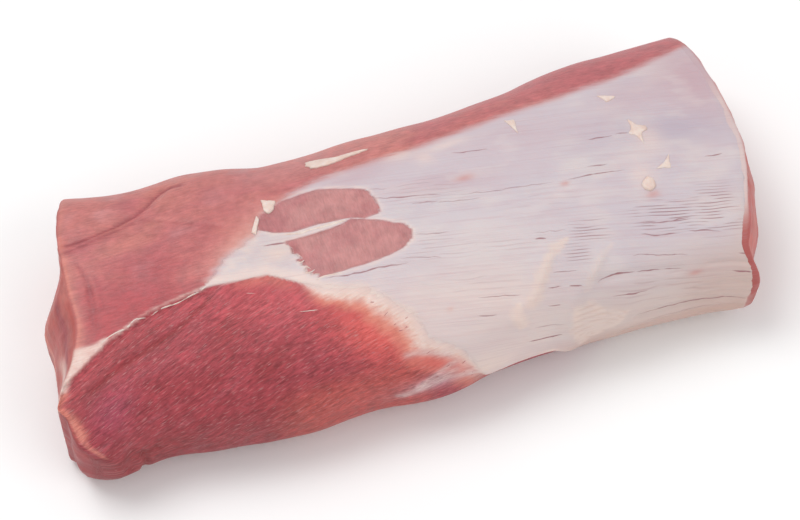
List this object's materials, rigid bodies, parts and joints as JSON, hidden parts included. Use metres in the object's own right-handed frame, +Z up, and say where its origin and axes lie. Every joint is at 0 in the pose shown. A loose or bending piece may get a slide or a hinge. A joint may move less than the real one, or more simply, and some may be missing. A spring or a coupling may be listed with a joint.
{
  "type": "boneless pork loin",
  "caption": "Raw boneless pork loin with its silverskin on, cut straight across at both ends and lying on its flat underside.",
  "frame": {"origin": "middle of the box around the loin, on the plane that it rests on", "axes": "+X along the loin from the end with the deep muscle to the end with the silverskin, +Y across it to the far side, +Z up"},
  "size_m": [0.315, 0.1308, 0.0662],
  "materials": {
    "raw_pork": "moist raw lean pork with pearly silverskin and cream fat"
  },
  "bodies": {
    "root": {"pork_loin": "raw_pork"}
  },
  "joints": []
}
